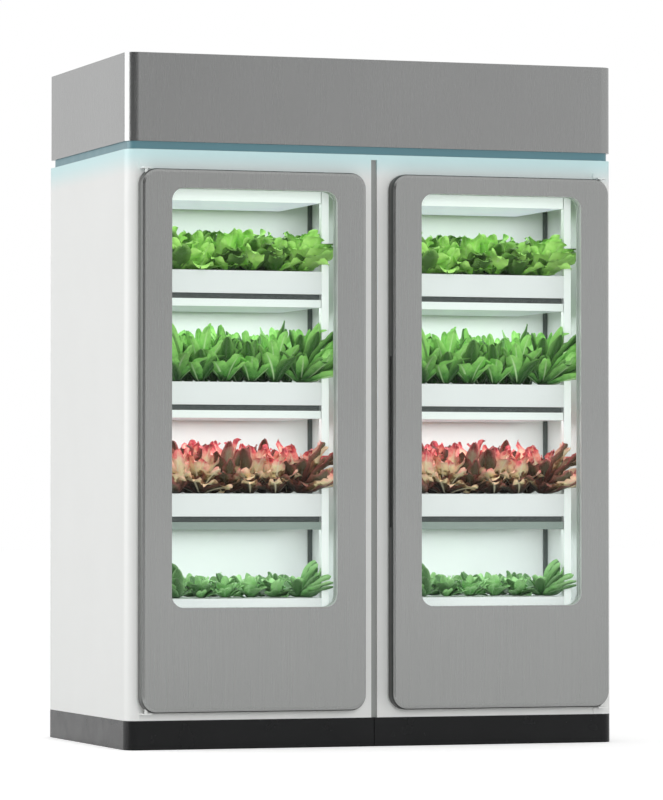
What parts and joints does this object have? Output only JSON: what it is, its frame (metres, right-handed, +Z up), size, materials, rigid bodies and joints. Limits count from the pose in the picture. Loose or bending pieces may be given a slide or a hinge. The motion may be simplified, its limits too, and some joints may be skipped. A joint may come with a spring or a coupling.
{
  "type": "hydroponic grow cabinet",
  "caption": "Tall grow cabinet with two glazed bays under one header, lit tiers of planting trays, tanks in the base, hinged doors and exhaust fans.",
  "frame": {"origin": "on the floor, below the middle of the cabinet's whole width and depth", "axes": "+Z up, -Y out of the doors, +X to the right seen from the front"},
  "size_m": [1.5, 0.87, 2],
  "materials": {
    "plinth_black": "satin black",
    "cabinet_white": "satin powder coat",
    "seam_grey": "matt",
    "header_grey": "satin powder coat",
    "door_grey": "satin powder coat",
    "door_back": "smooth",
    "glass": "clear",
    "glazing_seal": "matt",
    "door_gasket": "matt",
    "light_channel": "anodised",
    "light_lens": "translucent blue-green",
    "chamber": "washable, pale",
    "rack_white": "powder coat",
    "tray_white": "moulded",
    "board_white": "moulded",
    "lamp_white": "powder coat",
    "lamp_lens": "opal",
    "led_board": "circuit board",
    "tank": "blow moulded",
    "tank_lid": "moulded",
    "fill_cap": "moulded",
    "pump": "moulded",
    "impeller": "moulded",
    "supply_pipe": "extruded",
    "drain_pipe": "extruded",
    "control_box": "powder coat",
    "fan_frame": "moulded",
    "fan_rotor": "moulded",
    "inlet": "moulded",
    "rocker": "moulded",
    "screw_steel": "zinc plated",
    "seedling_leaf": "leaf",
    "red_leaf": "leaf",
    "romaine_leaf": "leaf",
    "lettuce_leaf": "leaf"
  },
  "bodies": {
    "cabinet": {"left_plinth": "plinth_black", "right_plinth": "plinth_black", "left_front_frame": "cabinet_white", "right_front_frame": "cabinet_white", "left_side_panel": "cabinet_white", "right_side_panel": "cabinet_white", "inner_side_panels": "cabinet_white", "bay_floors": "cabinet_white", "bay_roofs": "cabinet_white", "back_panels": "cabinet_white", "top_deck": "cabinet_white", "hinge_brackets": "cabinet_white", "seam_strips": "seam_grey", "header_shell": "header_grey", "header_lid": "header_grey", "light_channel": "light_channel", "light_lens": "light_lens", "chamber_back_walls": "chamber", "chamber_side_walls": "chamber", "chamber_ceilings": "chamber", "chamber_floors": "chamber", "rack_uprights": "rack_white", "rack_rails": "rack_white", "trays": "tray_white", "planting_boards": "board_white", "lamp_housings": "lamp_white", "lamp_lenses": "lamp_lens", "led_boards": "led_board", "tanks": "tank", "tank_lids": "tank_lid", "pump_bodies": "pump", "supply_pipes": "supply_pipe", "drain_pipes": "drain_pipe", "control_box": "control_box", "fan_frames": "fan_frame", "power_inlet": "inlet", "panel_screws": "screw_steel", "seedlings": "seedling_leaf", "red_lettuce": "red_leaf", "romaine": "romaine_leaf", "leaf_lettuce": "lettuce_leaf"},
    "left_door": {"left_door_leaf": "door_grey", "left_door_back": "door_back", "left_glass": "glass", "left_glazing_seal": "glazing_seal", "left_door_gasket": "door_gasket"},
    "left_cap": {"left_fill_cap": "fill_cap"},
    "left_pump_wheel": {"left_impeller": "impeller"},
    "left_fan": {"left_fan_rotor": "fan_rotor"},
    "right_door": {"right_door_leaf": "door_grey", "right_door_back": "door_back", "right_glass": "glass", "right_glazing_seal": "glazing_seal", "right_door_gasket": "door_gasket"},
    "right_cap": {"right_fill_cap": "fill_cap"},
    "right_pump_wheel": {"right_impeller": "impeller"},
    "right_fan": {"right_fan_rotor": "fan_rotor"},
    "rocker": {"power_rocker": "rocker"}
  },
  "joints": [
    {"name": "left_door_hinge", "type": "hinge", "parent": "cabinet", "child": "left_door", "pos_m": [-0.6995, -0.415, 0.8855], "axis": [0, 0, -1], "range_deg": [0, 110]},
    {"name": "left_cap_turn", "type": "hinge", "parent": "cabinet", "child": "left_cap", "pos_m": [-0.3795, -0.261, 0.32], "axis": [0, 0, 1], "range_deg": [0, 90]},
    {"name": "left_pump_spin", "type": "hinge", "parent": "cabinet", "child": "left_pump_wheel", "pos_m": [-0.2795, 0.13, 0.132], "axis": [0, 0, 1], "continuous": true},
    {"name": "left_fan_spin", "type": "hinge", "parent": "cabinet", "child": "left_fan", "pos_m": [-0.3795, 0.12, 1.98], "axis": [0, 0, 1], "continuous": true},
    {"name": "right_door_hinge", "type": "hinge", "parent": "cabinet", "child": "right_door", "pos_m": [0.6995, -0.415, 0.8855], "axis": [0, 0, 1], "range_deg": [0, 110]},
    {"name": "right_cap_turn", "type": "hinge", "parent": "cabinet", "child": "right_cap", "pos_m": [0.3795, -0.261, 0.32], "axis": [0, 0, 1], "range_deg": [0, 90]},
    {"name": "right_pump_spin", "type": "hinge", "parent": "cabinet", "child": "right_pump_wheel", "pos_m": [0.2795, 0.13, 0.132], "axis": [0, 0, 1], "continuous": true},
    {"name": "right_fan_spin", "type": "hinge", "parent": "cabinet", "child": "right_fan", "pos_m": [0.3795, 0.12, 1.98], "axis": [0, 0, 1], "continuous": true},
    {"name": "rocker_tilt", "type": "hinge", "parent": "cabinet", "child": "rocker", "pos_m": [0.4035, 0.427, 1.8705], "axis": [0, 0, 1], "range_deg": [0, 14]}
  ]
}
